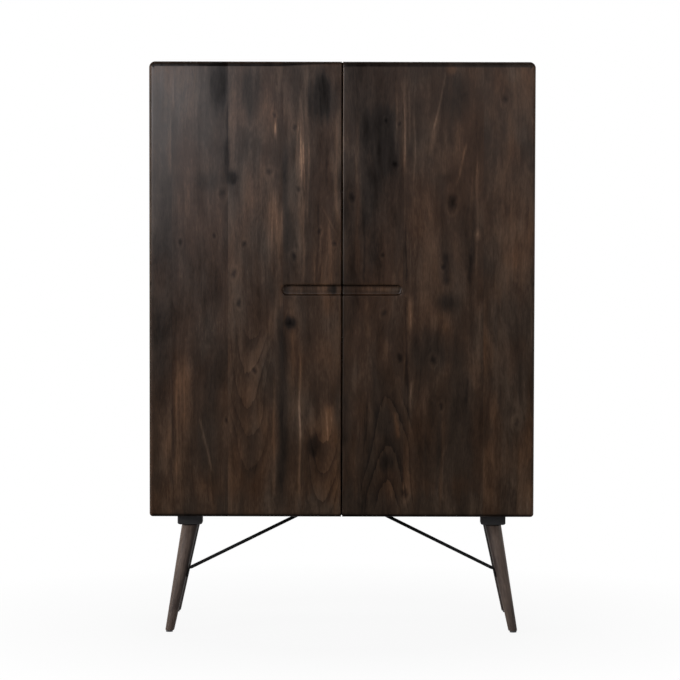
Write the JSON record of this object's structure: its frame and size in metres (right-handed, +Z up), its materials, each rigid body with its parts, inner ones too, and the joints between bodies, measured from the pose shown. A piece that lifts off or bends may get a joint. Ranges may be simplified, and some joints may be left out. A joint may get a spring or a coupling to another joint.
{
  "type": "bar cabinet",
  "caption": "Tall two-door bar cabinet on splayed tapered legs with side braces, a routed finger pull, bottle and glass storage and a shelf that folds down inside.",
  "frame": {"origin": "on the floor under the middle of the cabinet's width and depth", "axes": "+Z up; the doors face -Y; +X to the right seen from the front"},
  "size_m": [1, 0.457, 1.49],
  "materials": {
    "door_acacia": "solid acacia boards, espresso stain, satin lacquer",
    "case_acacia": "solid acacia panels, espresso stain, satin lacquer",
    "interior_acacia": "solid acacia, espresso stain, satin lacquer",
    "leg_acacia": "turned acacia, espresso stain, satin lacquer",
    "back_ply": "veneered plywood, stained",
    "black_steel": "matt black powder coat",
    "hinge_steel": "dark bronzed steel",
    "nylon": "moulded nylon",
    "catch_plastic": "moulded, with magnets",
    "felt": "pressed felt"
  },
  "bodies": {
    "case": {"back_panel": "back_ply", "case_bottom": "case_acacia", "case_top": "case_acacia", "counter_shelf": "interior_acacia", "door_catches": "catch_plastic", "door_hinge_case_leaves": "hinge_steel", "front_bottle_cradle": "interior_acacia", "front_left_leg": "leg_acacia", "front_left_mounting_block": "black_steel", "front_right_leg": "leg_acacia", "front_right_mounting_block": "black_steel", "left_brace": "black_steel", "left_shelf_bearer": "interior_acacia", "left_side": "case_acacia", "leg_glides": "nylon", "lower_shelf": "interior_acacia", "rear_bottle_cradle": "interior_acacia", "rear_left_leg": "leg_acacia", "rear_left_mounting_block": "black_steel", "rear_right_leg": "leg_acacia", "rear_right_mounting_block": "black_steel", "right_brace": "black_steel", "right_shelf_bearer": "interior_acacia", "right_side": "case_acacia", "shelf_catches": "catch_plastic", "shelf_hinge_counter_leaf": "hinge_steel", "shelf_stop_blocks": "interior_acacia", "stem_rail_1": "interior_acacia", "stem_rail_2": "interior_acacia", "stem_rail_3": "interior_acacia", "stem_rail_4": "interior_acacia", "stem_rail_5": "interior_acacia", "stem_rail_6": "interior_acacia", "stem_rail_7": "interior_acacia", "stem_rail_8": "interior_acacia", "upper_shelf": "interior_acacia"},
    "left_door": {"left_door": "door_acacia", "left_door_bumpers": "felt", "left_door_strike": "hinge_steel", "left_hinge_door_leaves": "hinge_steel", "left_rack_cheeks": "interior_acacia", "left_rack_floor": "interior_acacia", "left_rack_rails": "interior_acacia"},
    "right_door": {"right_door": "door_acacia", "right_door_bumpers": "felt", "right_door_strike": "hinge_steel", "right_hinge_door_leaves": "hinge_steel", "right_rack_cheeks": "interior_acacia", "right_rack_floor": "interior_acacia", "right_rack_rails": "interior_acacia"},
    "fold_out_shelf": {"fold_out_shelf": "interior_acacia", "fold_out_shelf_strikes": "hinge_steel", "shelf_hinge_flap_leaf": "hinge_steel"}
  },
  "joints": [
    {"name": "left_door_hinge", "type": "hinge", "parent": "case", "child": "left_door", "pos_m": [-0.4965, -0.201, 0.899], "axis": [0, 0, -1], "range_deg": [0, 135]},
    {"name": "right_door_hinge", "type": "hinge", "parent": "case", "child": "right_door", "pos_m": [0.4965, -0.201, 0.899], "axis": [0, 0, 1], "range_deg": [0, 135]},
    {"name": "fold_out_shelf_hinge", "type": "hinge", "parent": "case", "child": "fold_out_shelf", "pos_m": [0, 0.025, 0.902], "axis": [1, 0, 0], "range_deg": [0, 90]}
  ]
}
